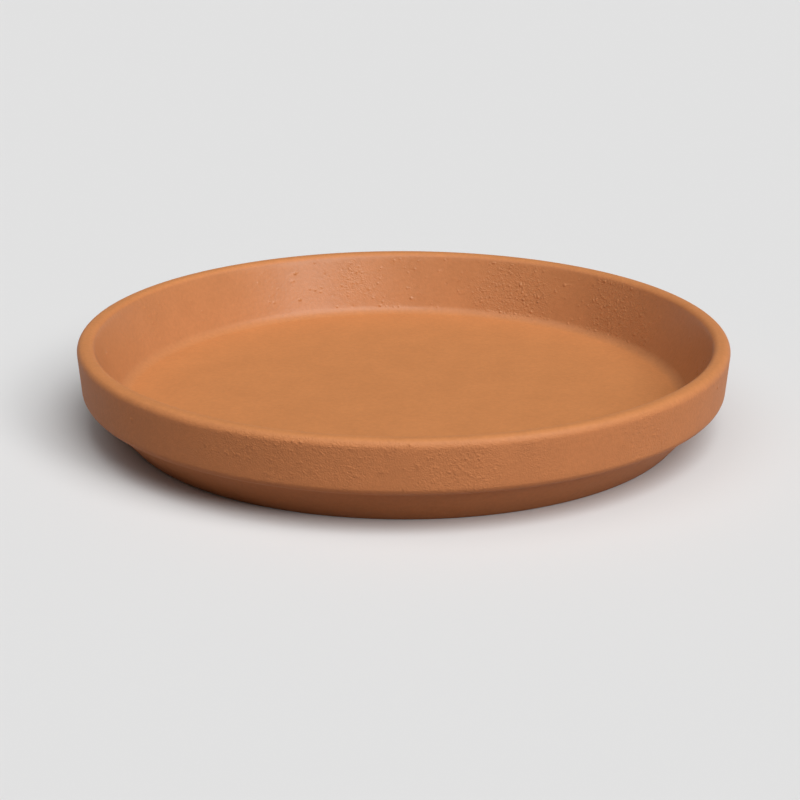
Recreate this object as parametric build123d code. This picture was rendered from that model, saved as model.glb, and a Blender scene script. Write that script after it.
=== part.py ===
from build123d import *

import os
from math import cos, radians, tan

# Round plant saucer of unglazed terracotta: a shallow dish with a thick collar over a narrower foot.
# It is pressed and fired as one piece of clay, so it is one solid, a section turned about the axis.
# Millimetres and degrees, +Z up. The origin is the middle of the foot, on the surface it stands on.

# Rim and collar
rim_diameter = 250.0  # overall, at the widest point of the rim's outer rounding
saucer_height = 35.0  # from the standing surface to the top of the rim
rim_thickness = 6.2  # across the top of the wall
collar_height = 20.6  # from the top of the rim to the underside of the collar
collar_draft = 4.8  # lean of the collar's outside, which narrows downwards
collar_ledge = 4.0  # how far the collar stands out over the top of the foot

# Well that holds the pot and its water
floor_thickness = 7.5
wall_draft = 22.0  # lean of the inner wall, which opens upwards so that the clay leaves its mould
well_fillet = 5.0  # where the inner wall runs into the floor

# Foot
foot_flare = 41.0  # lean of the foot's outside, which spreads up to the collar
foot_land = 9.0  # width of the ring that touches the standing surface
foot_recess = 3.0  # how far the underside is hollowed inside that ring
recess_draft = 30.0  # lean of the hollow's side, which opens downwards

# Softened edges, each as a share of the wall, ledge or step that limits it
rim_outer_round_share = 0.46  # of the rim's thickness
rim_inner_round_share = 0.42  # of the rim's thickness
collar_round_share = 0.85  # of the ledge
ledge_fillet_share = 0.25  # of the ledge
foot_round_share = 0.4  # of the recess's depth
recess_fillet_share = 0.5  # of the recess's depth


def run_in(height, lean):
    """How far a face that leans from the vertical moves sideways over a height."""
    return height * tan(radians(lean))


def saucer_section():
    """Corners of half the section as (radius, height, rounding), from the axis below to the axis above."""
    rim_round = rim_outer_round_share * rim_thickness
    rim_corner_gap = run_in(rim_round, collar_draft) + rim_round / cos(radians(collar_draft)) - rim_round
    rim_outer = rim_diameter / 2 + rim_corner_gap
    rim_inner = rim_outer - rim_thickness
    collar_underside = saucer_height - collar_height
    collar_bottom = rim_outer - run_in(collar_height, collar_draft)
    foot_top = collar_bottom - collar_ledge
    foot_outer = foot_top - run_in(collar_underside, foot_flare)
    foot_inner = foot_outer - foot_land
    recess_outer = foot_inner - run_in(foot_recess, recess_draft)
    floor_top = foot_recess + floor_thickness
    floor_outer = rim_inner - run_in(saucer_height - floor_top, wall_draft)
    return (
        (0, foot_recess, 0),
        (recess_outer, foot_recess, recess_fillet_share * foot_recess),
        (foot_inner, 0, foot_round_share * foot_recess),
        (foot_outer, 0, foot_round_share * foot_recess),
        (foot_top, collar_underside, ledge_fillet_share * collar_ledge),
        (collar_bottom, collar_underside, collar_round_share * collar_ledge),
        (rim_outer, saucer_height, rim_round),
        (rim_inner, saucer_height, rim_inner_round_share * rim_thickness),
        (floor_outer, floor_top, well_fillet),
        (0, floor_top, 0),
    )


def saucer():
    """The whole dish: the half section, closed along the axis and turned once round it."""
    corners = saucer_section()
    points = [(radius, height) for radius, height, rounding in corners]
    roundings = [rounding for radius, height, rounding in corners]
    with BuildPart() as dish:
        with BuildSketch(Plane.XZ):
            with BuildLine():
                outline = FilletPolyline(*points, radius=roundings[1:-1])
                Line(outline @ 1, outline @ 0)
            make_face()
        revolve(axis=Axis.Z)
    return dish.part


os.makedirs("parts", exist_ok=True)
export_step(saucer(), "parts/saucer.step")
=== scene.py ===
from math import atan2, cos, exp, pi, radians, sin, tan
from random import Random

import bmesh
import bpy
from bpy.props import FloatProperty, FloatVectorProperty, PointerProperty
from mathutils import Euler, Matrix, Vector
from mathutils.bvhtree import BVHTree
from mathutils.kdtree import KDTree


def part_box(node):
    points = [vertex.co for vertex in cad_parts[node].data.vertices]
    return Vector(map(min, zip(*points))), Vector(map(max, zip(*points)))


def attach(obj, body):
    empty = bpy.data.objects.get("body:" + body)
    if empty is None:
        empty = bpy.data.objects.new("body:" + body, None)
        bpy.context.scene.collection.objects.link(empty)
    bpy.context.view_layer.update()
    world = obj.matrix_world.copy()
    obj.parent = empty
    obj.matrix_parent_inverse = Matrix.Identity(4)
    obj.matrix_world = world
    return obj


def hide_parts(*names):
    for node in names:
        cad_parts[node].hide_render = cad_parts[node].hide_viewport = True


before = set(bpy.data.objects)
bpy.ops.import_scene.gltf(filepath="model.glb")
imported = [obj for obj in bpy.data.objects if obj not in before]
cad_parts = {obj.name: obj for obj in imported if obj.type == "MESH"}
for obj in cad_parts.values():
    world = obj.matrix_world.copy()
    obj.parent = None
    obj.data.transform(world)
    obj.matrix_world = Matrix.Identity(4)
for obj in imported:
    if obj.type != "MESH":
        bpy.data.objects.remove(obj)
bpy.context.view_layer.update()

bl_info = {
    "name": "Terracotta plant saucer",
    "version": (1, 0, 0),
    "blender": (4, 5, 0),
    "location": "3D View > Sidebar > Saucer",
    "description": "Builds a pressed clay plant saucer with a gritty skin, and a plain studio for it",
    "category": "Add Mesh",
}

# Blender works in metres. The saucer's sizes are written in millimetres.
MM = 0.001
SAUCER_LOW, SAUCER_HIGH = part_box("saucer")
# Blender takes the camera's lens and sensor in millimetres.
SENSOR_WIDTH = 36.0


def linear(hex_colour):
    """An sRGB hex colour such as C88253 as linear red, green and blue."""
    channels = [int(hex_colour[i:i + 2], 16) / 255 for i in (0, 2, 4)]
    return tuple(c / 12.92 if c <= 0.04045 else ((c + 0.055) / 1.055) ** 2.4 for c in channels)


def length(name, description, default):
    """A length that a user would change."""
    return FloatProperty(name=name, description=description, default=default, min=0, unit="LENGTH")


def angle(name, description, default):
    """An angle that a user would change, given in degrees."""
    return FloatProperty(name=name, description=description, default=radians(default), unit="ROTATION")


def colour(name, description, hex_colour):
    """A colour that a user would change."""
    return FloatVectorProperty(
        name=name, description=description, default=linear(hex_colour), subtype="COLOR", min=0, max=1)


def share(name, description, default):
    """A number from 0 to 1 that a user would change."""
    return FloatProperty(
        name=name, description=description, default=default, min=0, max=1, subtype="FACTOR")


class SaucerForm(bpy.types.PropertyGroup):
    """Sizes of the pressed dish."""
    rim_diameter: length(
        "Rim diameter", "Overall width, at the widest point of the rim", SAUCER_HIGH.x - SAUCER_LOW.x)
    height: length(
        "Height", "From the standing surface to the top of the rim", SAUCER_HIGH.z - SAUCER_LOW.z)
    rim_thickness: length("Rim thickness", "Across the top of the wall", 6.2 * MM)
    rim_outer_round: length("Outer rim rounding", "Radius of the rim's outer edge", 2.852 * MM)
    rim_inner_round: length("Inner rim rounding", "Radius of the rim's inner edge", 2.604 * MM)
    collar_height: length(
        "Collar height", "From the top of the rim to the collar's underside", 20.6 * MM)
    collar_draft: angle("Collar draft", "Lean of the collar, which narrows downwards", 4.8)
    collar_ledge: length("Collar ledge", "How far the collar stands out over the foot", 4.0 * MM)
    collar_round: length("Collar rounding", "Radius of the collar's lower edge", 3.4 * MM)
    ledge_fillet: length("Ledge fillet", "Radius where the foot meets the collar's underside", 1.0 * MM)
    floor_thickness: length("Floor thickness", "Clay under the pot", 7.5 * MM)
    wall_draft: angle("Wall draft", "Lean of the inner wall, which opens upwards", 22.0)
    well_fillet: length("Well fillet", "Radius where the inner wall runs into the floor", 5.0 * MM)
    foot_flare: angle("Foot flare", "Lean of the foot, which spreads up to the collar", 41.0)
    foot_land: length("Foot land", "Width of the ring that the saucer stands on", 9.0 * MM)
    foot_recess: length("Foot recess", "How far the underside is hollowed inside that ring", 3.0 * MM)
    foot_round: length("Foot rounding", "Radius of the foot ring's edges", 1.2 * MM)
    recess_draft: angle("Recess draft", "Lean of the hollow's side", 30.0)
    recess_fillet: length("Recess fillet", "Radius at the top of the hollow's side", 1.5 * MM)


class ClayFinish(bpy.types.PropertyGroup):
    """Colour and skin of the fired clay."""
    # Painted light: clay, a redder tone on the sides, and floor_clay, a shade yellower on skin that faces
    # up, stand for shaded sides and lit tops, not for dust.
    clay: colour("Clay", "Fired clay on the collar, the foot and the underside", "D18654")
    # Painted light: wall_clay's less red tone offsets the red light that the wall and the floor throw on
    # each other, not fines drawn up by the tool.
    wall_clay: colour(
        "Wall clay", "Fired clay on the inner wall, where the tool drew fines up", "C28254")
    floor_clay: colour(
        "Floor clay", "Fired clay on the floor and the rim, drier with dust", "C9834E")
    side_roughness: share("Side roughness", "Roughness of the outside, left by the mould", 0.6)
    wall_roughness: share("Wall roughness", "Roughness of the inner wall, polished by the tool", 0.37)
    floor_roughness: share("Floor roughness", "Roughness of the floor and the rim", 0.6)
    grit_width: length("Grit width", "Half the width of one grain under the skin", 0.52 * MM)
    grit_rise: length("Grit rise", "How far a grain lifts the skin", 0.28 * MM)
    # Clay is finer grained than this. The pattern is drawn coarse enough to show.
    grain_size: length("Grain size", "Width of the fine grain of the clay", 1.6 * MM)
    grain_rise: length("Grain rise", "Relief of the fine grain", 0.08 * MM)
    mottle_size: length("Mottle size", "Width of the faint clouds in the colour", 14.0 * MM)


class StudioSetup(bpy.types.PropertyGroup):
    """Floor, light and camera."""
    floor_colour: colour("Floor", "Colour of the seamless floor", "E3E3E3")
    floor_bounce: colour("Floor bounce", "Colour of the light that the floor throws back up", "8E8077")
    floor_width: length("Floor width", "Side of the square floor", 12.0)
    sky_strength: FloatProperty(
        name="Sky", description="Strength of the light from all round", default=0.06, min=0)
    lamp_level: FloatProperty(
        name="Lamps", description="Level of all the lamps together", default=1.0, min=0)
    camera_distance: length("Camera distance", "From the middle of the foot to the lens", 784.2 * MM)
    camera_height: angle(
        "Camera elevation", "Elevation of the lens over the middle of the foot", 19.259)
    camera_tilt: angle("Camera tilt", "How far the camera looks down", 18.791)
    camera_roll: angle("Camera roll", "Turn about the line of sight", 0.089)
    camera_aside: length("Camera offset", "How far the lens is to the left of the middle", 1.37 * MM)
    lens: FloatProperty(
        name="Lens", description=f"Focal length on a {SENSOR_WIDTH:.0f} mm sensor", default=90.0,
        subtype="DISTANCE_CAMERA")


# Grit that came up through the skin in the mould, in patches: bearing from the front to the right in
# degrees, height as a share of the band, spread along the band in millimetres, spread up it as a share
# of the band, and how many grains.
GRIT_PATCHES = {
    "collar": (
        (-29.0, 0.70, 13.0, 0.22, 32),
        (-18.0, 0.60, 15.0, 0.25, 80),
        (-9.0, 0.62, 12.0, 0.24, 54),
        (-3.0, 0.85, 5.0, 0.06, 12),
        (4.0, 0.55, 6.0, 0.26, 26),
        (9.5, 0.50, 8.0, 0.25, 120),
        (21.0, 0.60, 7.0, 0.25, 24),
        (42.0, 0.48, 10.0, 0.22, 64),
        (100.0, 0.50, 11.0, 0.24, 56),
        (123.0, 0.55, 7.0, 0.22, 24),
        (154.0, 0.50, 11.0, 0.24, 56),
        (197.0, 0.58, 7.0, 0.20, 24),
        (236.0, 0.50, 11.0, 0.24, 56),
        (263.0, 0.52, 8.0, 0.22, 24),
    ),
    "wall": (
        (190.0, 0.48, 13.0, 0.26, 52),
        (207.0, 0.55, 13.0, 0.25, 14),
        (176.0, 0.60, 9.0, 0.25, 12),
        (153.5, 0.46, 12.0, 0.26, 215),
        (163.0, 0.48, 8.0, 0.26, 36),
        (129.0, 0.55, 14.0, 0.27, 225),
        (117.0, 0.45, 8.0, 0.25, 24),
        (82.0, 0.50, 8.0, 0.22, 28),
        (38.0, 0.48, 10.0, 0.24, 46),
        (-13.0, 0.55, 8.0, 0.22, 34),
        (-62.0, 0.50, 11.0, 0.24, 46),
        (-116.0, 0.56, 7.0, 0.20, 20),
    ),
}
# Stray grains lie all round a band, so they are spread as one very wide patch.
STRAY_PATCH = (0.0, 0.5, 1000.0, 0.3)
STRAY_GRAINS = {"collar": 44, "wall": 36}
# Larger grains that stand alone, as bearing and height share.
LONE_GRAINS = {
    "collar": ((0.9, 0.94), (66.0, 0.70), (131.0, 0.40), (178.0, 0.66), (254.0, 0.44), (310.0, 0.60)),
    "wall": (
        (204.0, 0.75), (203.8, 0.31), (185.3, 0.12), (178.2, 0.24), (143.1, 0.70), (148.9, 0.43),
        (149.9, 0.17), (61.0, 0.40), (12.0, 0.66), (-36.0, 0.34), (-90.0, 0.62)),
}
# A band runs between these two corners of the section, from its lower edge to its upper one.
BANDS = {"collar": ("collar_bottom", "rim_outer"), "wall": ("well_edge", "rim_inner")}
# Patches and strays keep between these height shares, clear of the band's rounded edges.
BAND_LOW, BAND_HIGH = 0.1, 0.9
# One standard deviation along the band, as a share of a patch's spread.
PATCH_SPREAD = 0.7
# The collar's patches and strays have smaller grains than the wall's.
GRAIN_SCALE = {"collar": 0.84, "wall": 1.0}
# Widths and rises of the grains, as shares of the grit's own. The negative rise is the pit of a grain
# that fell out.
NARROWEST, WIDEST = 0.7, 1.2
GRAIN_RISES = (1.0, 0.8, 0.6, -0.5)
LONE_WIDTH, LONE_RISE = 1.5, 1.4
GRIT_SEED = 11
# Grains make the skin around them gritty too. The effect fades over this distance, is nothing past the
# reach, and is full at this crowd of grains.
GRIT_FADE = 4.0 * MM
GRIT_REACH = 2 * GRIT_FADE
GRIT_CROWD = 9.0
# The collar is a little gritty all over, from the mould.
COLLAR_GRIT = 0.4

# How nearly the skin faces the way that the inner wall does, as a cosine, where the tool's polish is full
# and where it ends: low over the fillet, so that it fades out slowly, and high at the rim, where it stops
# short.
POLISH_FULL = 0.99
FILLET_POLISH_END = 0.4
RIM_POLISH_END = 0.95

# Steps that divide the section: round a corner, along a wall, across a level face, and round the axis.
ROUNDING_STEP = 0.6 * MM
FEWEST_SEGMENTS = 3
RUN_STEP = 2.0 * MM
FLAT_STEP = 16.0 * MM
TURN_STEPS = 320
TURN_STEP = 2 * pi / TURN_STEPS
# Step of the skin that carries grains.
GRIT_STEP = 0.34 * MM
# Points, heights or radii closer than this are the same.
TOUCHING = 0.01 * MM


def run_in(height, lean):
    """How far a face that leans from the vertical moves sideways over a height."""
    return height * tan(lean)


def saucer_section(form):
    """Corners of half the section as radius, height and rounding, from the axis below to the axis above."""
    # The rim is widest on its rounding, so the sharp corner stands out past it by this gap.
    corner_gap = run_in(form.rim_outer_round, form.collar_draft)
    corner_gap += form.rim_outer_round * (1 / cos(form.collar_draft) - 1)
    rim_outer = form.rim_diameter / 2 + corner_gap
    rim_inner = rim_outer - form.rim_thickness
    collar_underside = form.height - form.collar_height
    collar_bottom = rim_outer - run_in(form.collar_height, form.collar_draft)
    foot_top = collar_bottom - form.collar_ledge
    foot_outer = foot_top - run_in(collar_underside, form.foot_flare)
    foot_inner = foot_outer - form.foot_land
    recess_outer = foot_inner - run_in(form.foot_recess, form.recess_draft)
    floor_top = form.foot_recess + form.floor_thickness
    floor_outer = rim_inner - run_in(form.height - floor_top, form.wall_draft)
    return {
        "axis_below": (0, form.foot_recess, 0),
        "recess_edge": (recess_outer, form.foot_recess, form.recess_fillet),
        "foot_inner": (foot_inner, 0, form.foot_round),
        "foot_outer": (foot_outer, 0, form.foot_round),
        "foot_top": (foot_top, collar_underside, form.ledge_fillet),
        "collar_bottom": (collar_bottom, collar_underside, form.collar_round),
        "rim_outer": (rim_outer, form.height, form.rim_outer_round),
        "rim_inner": (rim_inner, form.height, form.rim_inner_round),
        "well_edge": (floor_outer, floor_top, form.well_fillet),
        "axis_above": (0, floor_top, 0),
    }


def draw_section(bm, corners):
    """Draws the half section as a wire, rounds its corners and divides its straight runs."""
    verts = [bm.verts.new((radius, 0, height)) for radius, height, _ in corners]
    for one, other in zip(verts, verts[1:]):
        bm.edges.new((one, other))
    for vert, (_, _, rounding) in zip(verts, corners):
        if rounding:
            towards = [edge.other_vert(vert).co - vert.co for edge in vert.link_edges]
            turn = pi - towards[0].angle(towards[1])
            segments = max(FEWEST_SEGMENTS, round(rounding * turn / ROUNDING_STEP))
            bmesh.ops.bevel(
                bm, geom=[vert], offset=rounding * tan(turn / 2), offset_type="OFFSET",
                affect="VERTICES", segments=segments, profile=0.5, material=-1)
    for edge in list(bm.edges):
        flat = abs(edge.verts[0].co.z - edge.verts[1].co.z) < ROUNDING_STEP
        cuts = round(edge.calc_length() / (FLAT_STEP if flat else RUN_STEP)) - 1
        if cuts > 0:
            bmesh.ops.subdivide_edges(bm, edges=[edge], cuts=cuts)


def turn_section(bm):
    """Turns the section once round the axis into a closed skin."""
    bmesh.ops.spin(
        bm, geom=bm.verts[:] + bm.edges[:], cent=(0, 0, 0), axis=(0, 0, 1), angle=2 * pi,
        steps=TURN_STEPS, use_merge=True)
    bmesh.ops.remove_doubles(bm, verts=bm.verts[:], dist=TOUCHING)
    bmesh.ops.recalc_face_normals(bm, faces=bm.faces[:])


def mark_polish(bm, form, corners):
    """Marks the inner wall, which the tool polished, from 0 elsewhere to 1 on it."""
    layer = bm.verts.layers.float.new("polish")
    floor_top, rim_top = corners["well_edge"][1], corners["rim_inner"][1]
    mid_wall = (floor_top + rim_top) / 2
    bm.normal_update()
    for vert in bm.verts:
        if vert.co.z > floor_top:
            outward = vert.normal.xy.dot(vert.co.xy.normalized())
            alike = vert.normal.z * sin(form.wall_draft) - outward * cos(form.wall_draft)
            end = FILLET_POLISH_END if vert.co.z < mid_wall else RIM_POLISH_END
            vert[layer] = min(1, max(0, (alike - end) / (POLISH_FULL - end)))


def on_band(ends, bearing, up):
    """A place on the collar or the wall, by bearing from the front to the right and height share."""
    (low_radius, low, _), (high_radius, high, _) = ends
    radius = low_radius + (high_radius - low_radius) * up
    return Vector((radius * sin(bearing), -radius * cos(bearing), low + (high - low) * up))


def scatter_grit(bm, corners, finish):
    """Every grain under the skin, as its place on it, half width and rise."""
    skin = BVHTree.FromBMesh(bm)
    chance = Random(GRIT_SEED)
    grains = []
    for band, patches in GRIT_PATCHES.items():
        ends = [corners[name] for name in BANDS[band]]
        band_radius = ends[1][0]
        scale = GRAIN_SCALE[band]
        strays = (*STRAY_PATCH, STRAY_GRAINS[band])
        for middle, middle_up, along, up_spread, number in (*patches, strays):
            for _ in range(number):
                bearing = radians(middle) + chance.gauss(0, along * MM) * PATCH_SPREAD / band_radius
                up = min(BAND_HIGH, max(BAND_LOW, chance.gauss(middle_up, up_spread)))
                width = scale * finish.grit_width * chance.uniform(NARROWEST, WIDEST)
                rise = scale * finish.grit_rise * chance.choice(GRAIN_RISES)
                grains.append((on_band(ends, bearing, up), width, rise))
        for bearing, up in LONE_GRAINS[band]:
            place = on_band(ends, radians(bearing), up)
            grains.append((place, LONE_WIDTH * finish.grit_width, LONE_RISE * finish.grit_rise))
    return [(skin.find_nearest(place)[0], width, rise) for place, width, rise in grains]


def index_places(places):
    """An index that finds the places near a point."""
    index = KDTree(len(places))
    for number, place in enumerate(places):
        index.insert(place, number)
    index.balance()
    return index


def mark_grit(bm, corners, grains):
    """Marks how gritty the skin is, from 0 on smooth clay to 1 in the thick of a patch."""
    layer = bm.verts.layers.float.new("grit")
    index = index_places([place for place, _, _ in grains])
    collar_radius = corners["collar_bottom"][0]
    for vert in bm.verts:
        even = COLLAR_GRIT if vert.co.xy.length > collar_radius else 0
        near = index.find_range(vert.co, GRIT_REACH)
        crowd = sum(exp(-(distance / GRIT_FADE) ** 2) for _, _, distance in near)
        vert[layer] = min(1, even + crowd / GRIT_CROWD)


def is_level(edge):
    """Whether an edge runs round the axis."""
    one, other = (vert.co for vert in edge.verts)
    return abs(one.z - other.z) < TOUCHING and abs(one.xy.length - other.xy.length) < TOUCHING


def divide(bm, edges):
    """Divides edges into steps fine enough to carry the grit."""
    by_cuts = {}
    for edge in edges:
        by_cuts.setdefault(round(edge.calc_length() / GRIT_STEP) - 1, []).append(edge)
    # The order is fixed, so that every run divides the skin alike.
    for cuts in sorted(by_cuts):
        if cuts > 0:
            bmesh.ops.subdivide_edges(bm, edges=by_cuts[cuts], cuts=cuts, use_grid_fill=True)


def refine_grit(bm, grains):
    """Divides the skin finely under the grains, first up the wall and then round it."""
    # A face is found by its middle, which can be this far from a grain at the face's edge.
    half_face = RUN_STEP / 2
    index = index_places([face.calc_center_median() for face in bm.faces])
    layer = bm.faces.layers.int.new("under_grit")
    faces = bm.faces[:]
    for place, width, _ in grains:
        for _, number, _ in index.find_range(place, half_face + width):
            faces[number][layer] = 1
    for round_axis in (False, True):
        edges = {edge for face in bm.faces if face[layer] for edge in face.edges}
        divide(bm, [edge for edge in edges if is_level(edge) == round_axis])
    bm.faces.layers.int.remove(layer)


def round_out(bm):
    """Moves points that lie on the flats between the turn's steps out onto the true round."""
    for vert in bm.verts:
        off_middle = atan2(vert.co.y, vert.co.x) % TURN_STEP - TURN_STEP / 2
        vert.co.xy *= cos(off_middle) / cos(TURN_STEP / 2)


def lift_skin(bm, grains):
    """Lifts the skin over each grain in a low dome, and sinks it into each pit."""
    index = index_places([place for place, _, _ in grains])
    reach = max(width for _, width, _ in grains)
    bm.normal_update()
    for vert in bm.verts:
        lift = 0
        for _, number, distance in index.find_range(vert.co, reach):
            _, width, rise = grains[number]
            if distance < width:
                lift += rise * (1 - (distance / width) ** 2) ** 2
        vert.co += vert.normal * lift


def press_grit(bm, corners, finish):
    """Brings the grit up through the skin, in fine faces that carry each grain."""
    grains = scatter_grit(bm, corners, finish)
    mark_grit(bm, corners, grains)
    refine_grit(bm, grains)
    round_out(bm)
    lift_skin(bm, grains)


def add_node(tree, kind, inputs=(), **settings):
    """Adds a node of a kind, with its settings, and sets or links its inputs by name or number."""
    node = tree.nodes.new(kind)
    for name, value in settings.items():
        setattr(node, name, value)
    for name, value in dict(inputs).items():
        if isinstance(value, bpy.types.NodeSocket):
            tree.links.new(value, node.inputs[name])
        else:
            node.inputs[name].default_value = value
    return node


def new_material(name):
    """A material with an empty node tree, and that tree."""
    material = bpy.data.materials.new(name)
    material.use_nodes = True
    material.node_tree.nodes.clear()
    return material, material.node_tree


# Gritty skin is rough on a finer scale than its grains, too fine to show in the render. That roughness is
# drawn as pimples, this many times as wide as half a grain and as high as one, so that it shows.
PIMPLE_WIDTH = 1.1
PIMPLE_RISE = 0.75
# How many finer layers each noise has.
MOTTLE_DETAIL, GRAIN_DETAIL, PIMPLE_DETAIL = 3.0, 2.0, 1.0
NOISE_ROUGHNESS = 0.55
# Noise keeps mostly between these values.
NOISE_LOW, NOISE_HIGH = 0.3, 0.7
# What clouds and grain do to the lightness of the colour, and what clouds add to the roughness.
CLOUD_SHADES = (0.97, 1.03)
GRAIN_SHADES = (0.96, 1.04)
CLOUD_DULLNESS = (-0.02, 0.02)
# Fired clay is mostly silicates, close to silica glass in IOR. Its open pores take off some of the gleam.
CLAY_IOR = 1.45
CLAY_SPECULAR = 0.4


def terracotta(finish):
    """Terracotta, pressed in a mould, fired and left unglazed."""
    # It gives the eye a warm orange brown with a dull sheen. Skin that looks up is a shade yellower and the
    # sides redder, painted light for lit tops and shaded sides, not dust. The inner wall has a less red
    # tone, a painted correction for the light that wall and floor throw on each other, and shines a little
    # from the tool. The colour clouds faintly, and grit roughens it in patches.
    material, tree = new_material("pressed_terracotta")
    where = add_node(tree, "ShaderNodeTexCoord").outputs["Object"]
    patterns = (
        (finish.mottle_size, MOTTLE_DETAIL),
        (finish.grain_size, GRAIN_DETAIL),
        (PIMPLE_WIDTH * finish.grit_width, PIMPLE_DETAIL),
    )
    noises = []
    for width, detail in patterns:
        noise = add_node(tree, "ShaderNodeTexNoise", {
            "Vector": where, "Scale": 1 / width, "Detail": detail, "Roughness": NOISE_ROUGHNESS})
        noises.append(noise.outputs["Fac"])
    mottle, grain, pimples = noises

    variations = []
    for noise, (low, high) in ((mottle, CLOUD_SHADES), (grain, GRAIN_SHADES), (mottle, CLOUD_DULLNESS)):
        variation = add_node(tree, "ShaderNodeMapRange", {
            "Value": noise, "From Min": NOISE_LOW, "From Max": NOISE_HIGH, "To Min": low, "To Max": high})
        variations.append(variation.outputs["Result"])
    clouds, speckle, smears = variations

    facing = add_node(tree, "ShaderNodeNewGeometry").outputs["Normal"]
    upward = add_node(tree, "ShaderNodeSeparateXYZ", {"Vector": facing}).outputs["Z"]
    polished = add_node(tree, "ShaderNodeAttribute", attribute_name="polish").outputs["Fac"]
    colours = (finish.clay, finish.floor_clay, finish.wall_clay)
    roughnesses = (finish.side_roughness, finish.floor_roughness, finish.wall_roughness)
    finishes = []
    for side, floor, wall in (colours, [(level,) * 3 for level in roughnesses]):
        # Painted light: the sides' redder tone and the up-facing skin's yellower one stand for shaded sides
        # and lit tops.
        by_facing = add_node(tree, "ShaderNodeMixRGB", {
            "Fac": upward, "Color1": (*side, 1), "Color2": (*floor, 1)})
        # The inner wall's less red tone is a painted correction for the light thrown between wall and
        # floor; its lower roughness is the tool's real polish.
        on_wall = add_node(tree, "ShaderNodeMixRGB", {
            "Fac": polished, "Color1": by_facing.outputs["Color"], "Color2": (*wall, 1)})
        finishes.append(on_wall.outputs["Color"])
    skin, dullness = finishes

    shade = add_node(tree, "ShaderNodeMath", {0: clouds, 1: speckle}, operation="MULTIPLY")
    tint = add_node(tree, "ShaderNodeHueSaturation", {"Color": skin, "Value": shade.outputs[0]})
    roughness = add_node(tree, "ShaderNodeMath", {0: dullness, 1: smears}, operation="ADD")
    grit = add_node(tree, "ShaderNodeAttribute", attribute_name="grit").outputs["Fac"]
    gritty = add_node(tree, "ShaderNodeMath", {0: pimples, 1: grit}, operation="MULTIPLY")
    fine = add_node(tree, "ShaderNodeBump", {
        "Height": grain, "Distance": finish.grain_rise, "Strength": 1.0})
    bumps = add_node(tree, "ShaderNodeBump", {
        "Height": gritty.outputs[0], "Distance": PIMPLE_RISE * finish.grit_rise, "Strength": 1.0,
        "Normal": fine.outputs["Normal"]})
    shader = add_node(tree, "ShaderNodeBsdfPrincipled", {
        "Base Color": tint.outputs["Color"], "Roughness": roughness.outputs[0], "IOR": CLAY_IOR,
        "Specular IOR Level": CLAY_SPECULAR, "Normal": bumps.outputs["Normal"]})
    add_node(tree, "ShaderNodeOutputMaterial", {"Surface": shader.outputs["BSDF"]})
    return material


def new_object(name, bm):
    """A finished piece at the origin, with its place in its mesh."""
    mesh = bpy.data.meshes.new(name)
    bm.to_mesh(mesh)
    bm.free()
    piece = bpy.data.objects.new(name, mesh)
    bpy.context.scene.collection.objects.link(piece)
    return piece


class SAUCER_OT_press_dish(bpy.types.Operator):
    """Press the clay dish: rim, collar, well and foot in one skin, with its grit"""
    bl_idname = "saucer.press_dish"
    bl_label = "Press the dish"

    def execute(self, context):
        form, finish = context.scene.saucer_form, context.scene.clay_finish
        bm = bmesh.new()
        corners = saucer_section(form)
        draw_section(bm, list(corners.values()))
        turn_section(bm)
        mark_polish(bm, form, corners)
        press_grit(bm, corners, finish)
        for face in bm.faces:
            face.smooth = True
        dish = new_object("terracotta_dish", bm)
        dish.data.materials.append(terracotta(finish))
        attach(dish, "root")
        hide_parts("saucer")
        return {"FINISHED"}


# Soft lamps: name, strength, then bearing from the front to the right, elevation and spread in degrees.
LAMPS = (
    ("key", 2.58, 38.0, 54.0, 52.0),
    ("front_box", 0.48, 43.0, 29.0, 15.0),
    ("left_fill", 0.62, -57.0, 70.0, 60.0),
)
WHITE = (1.0, 1.0, 1.0, 1.0)
# The backdrop is full up to the first of these heights and gone at the second, as shares of the way up
# from the horizon.
BACKDROP_FULL, BACKDROP_END = 0.11, 0.21
NEAREST_SEEN = 10 * MM


def seen_rays(tree):
    """1 for rays that show a surface, straight or in a gloss or glass, and 0 for the light it throws."""
    rays = add_node(tree, "ShaderNodeLightPath").outputs
    shown = add_node(tree, "ShaderNodeMath", {
        0: rays["Is Camera Ray"], 1: rays["Is Glossy Ray"]}, operation="MAXIMUM")
    seen = add_node(tree, "ShaderNodeMath", {
        0: shown.outputs[0], 1: rays["Is Transmission Ray"]}, operation="MAXIMUM")
    return seen.outputs[0]


def floor_card(studio):
    """Pale card, matt and uncoated."""
    # It gives the eye an even ground with no gloss, marked by the shadow alone. It throws less light back
    # up than it shows, so that the shade under the collar stays deep.
    material, tree = new_material("matt_pale_card")
    bounced = add_node(tree, "ShaderNodeBsdfDiffuse", {"Color": (*studio.floor_bounce, 1)})
    seen = add_node(tree, "ShaderNodeBsdfDiffuse", {"Color": (*studio.floor_colour, 1)})
    mixed = add_node(tree, "ShaderNodeMixShader", {
        0: seen_rays(tree), 1: bounced.outputs[0], 2: seen.outputs[0]})
    add_node(tree, "ShaderNodeOutputMaterial", {"Surface": mixed.outputs[0]})
    return material


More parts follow.
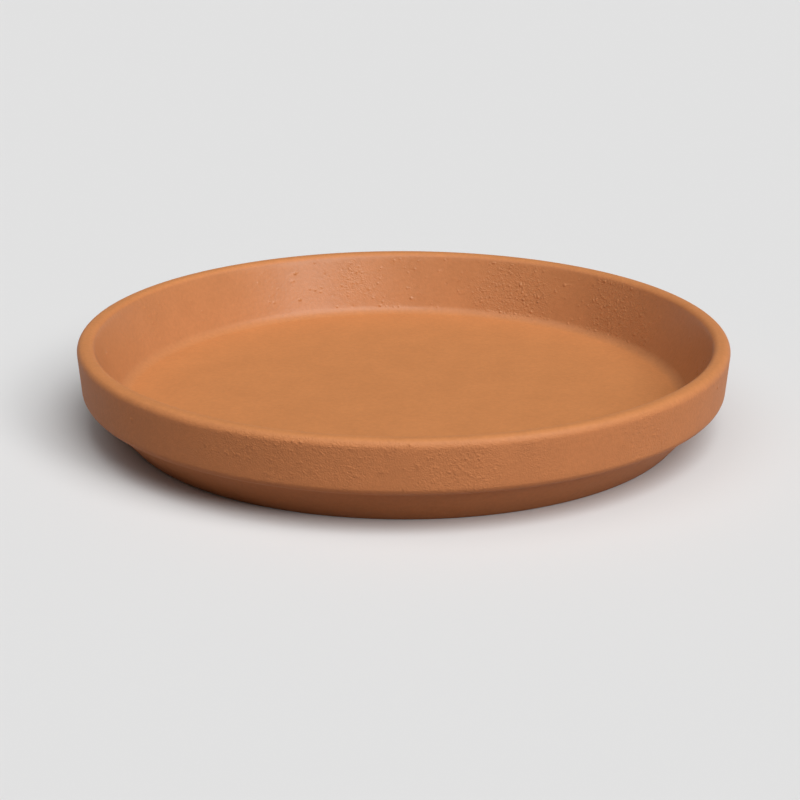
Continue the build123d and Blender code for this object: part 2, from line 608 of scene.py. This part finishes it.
def set_sky(studio):
    """Weak, even light from all round, and a low backdrop in the floor's colour over the horizon."""
    world = bpy.data.worlds.new("studio_sky")
    world.use_nodes = True
    tree = world.node_tree
    tree.nodes.clear()
    direction = add_node(tree, "ShaderNodeTexCoord").outputs["Generated"]
    height = add_node(tree, "ShaderNodeSeparateXYZ", {"Vector": direction}).outputs["Z"]
    low = add_node(tree, "ShaderNodeMapRange", {
        "Value": height, "From Min": BACKDROP_FULL, "From Max": BACKDROP_END,
        "To Min": 1.0, "To Max": 0.0}, interpolation_type="SMOOTHSTEP")
    shown = add_node(tree, "ShaderNodeMath", {
        0: low.outputs["Result"], 1: seen_rays(tree)}, operation="MULTIPLY")
    light = add_node(tree, "ShaderNodeBackground", {"Color": WHITE, "Strength": studio.sky_strength})
    backdrop = add_node(tree, "ShaderNodeBackground", {
        "Color": (*studio.floor_colour, 1), "Strength": 1.0})
    mixed = add_node(tree, "ShaderNodeMixShader", {
        0: shown.outputs[0], 1: light.outputs[0], 2: backdrop.outputs[0]})
    add_node(tree, "ShaderNodeOutputWorld", {"Surface": mixed.outputs[0]})
    bpy.context.scene.world = world


def add_sun(name, strength, bearing, height, spread):
    """A soft light from far away, by its bearing from the front to the right and its elevation."""
    lamp = bpy.data.lights.new(name, "SUN")
    lamp.energy = strength
    lamp.angle = spread
    light = bpy.data.objects.new(name, lamp)
    towards = Vector((sin(bearing) * cos(height), -cos(bearing) * cos(height), sin(height)))
    light.rotation_euler = towards.to_track_quat("Z", "Y").to_euler()
    bpy.context.scene.collection.objects.link(light)


def set_camera(studio):
    """The photograph's view: a little above the saucer, looking along +Y."""
    lens = bpy.data.cameras.new("camera")
    lens.lens = studio.lens
    lens.sensor_width = SENSOR_WIDTH
    lens.clip_start = NEAREST_SEEN
    camera = bpy.data.objects.new("camera", lens)
    back = studio.camera_distance * cos(studio.camera_height)
    up = studio.camera_distance * sin(studio.camera_height)
    camera.location = (-studio.camera_aside, -back, up)
    tilt = Euler((pi / 2 - studio.camera_tilt, 0, 0)).to_matrix()
    roll = Euler((0, 0, studio.camera_roll)).to_matrix()
    camera.rotation_euler = (tilt @ roll).to_euler()
    bpy.context.scene.collection.objects.link(camera)
    bpy.context.scene.camera = camera


class SAUCER_OT_set_stage(bpy.types.Operator):
    """Set the studio: pale floor, soft light and the camera"""
    bl_idname = "saucer.set_stage"
    bl_label = "Set the stage"

    def execute(self, context):
        studio = context.scene.saucer_studio
        bm = bmesh.new()
        bmesh.ops.create_grid(bm, x_segments=1, y_segments=1, size=studio.floor_width / 2)
        floor = new_object("floor", bm)
        floor.data.materials.append(floor_card(studio))
        set_sky(studio)
        for name, strength, *angles in LAMPS:
            add_sun(name, strength * studio.lamp_level, *map(radians, angles))
        set_camera(studio)
        context.scene.view_settings.view_transform = "Standard"
        return {"FINISHED"}


class SAUCER_PT_panel(bpy.types.Panel):
    """The saucer's steps and settings"""
    bl_idname = "SAUCER_PT_panel"
    bl_label = "Plant saucer"
    bl_space_type = "VIEW_3D"
    bl_region_type = "UI"
    bl_category = "Saucer"

    def draw(self, context):
        for operator, groups in STEPS:
            self.layout.operator(operator)
            for group in groups:
                settings = getattr(context.scene, group)
                for name in settings.__annotations__:
                    self.layout.prop(settings, name)


STEPS = (
    ("saucer.press_dish", ("saucer_form", "clay_finish")),
    ("saucer.set_stage", ("saucer_studio",)),
)
GROUPS = (
    ("saucer_form", SaucerForm),
    ("clay_finish", ClayFinish),
    ("saucer_studio", StudioSetup),
)
CLASSES = (
    SaucerForm,
    ClayFinish,
    StudioSetup,
    SAUCER_OT_press_dish,
    SAUCER_OT_set_stage,
    SAUCER_PT_panel,
)


def register():
    """Registers the classes, and gives the scene its groups of settings."""
    for kind in CLASSES:
        bpy.utils.register_class(kind)
    for name, kind in GROUPS:
        setattr(bpy.types.Scene, name, PointerProperty(type=kind))


def unregister():
    """Takes the settings and the classes out again."""
    for name, _ in GROUPS:
        delattr(bpy.types.Scene, name)
    for kind in reversed(CLASSES):
        bpy.utils.unregister_class(kind)


def main():
    """Presses the dish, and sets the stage."""
    register()
    bpy.ops.saucer.press_dish()
    bpy.ops.saucer.set_stage()


if __name__ == "__main__":
    main()
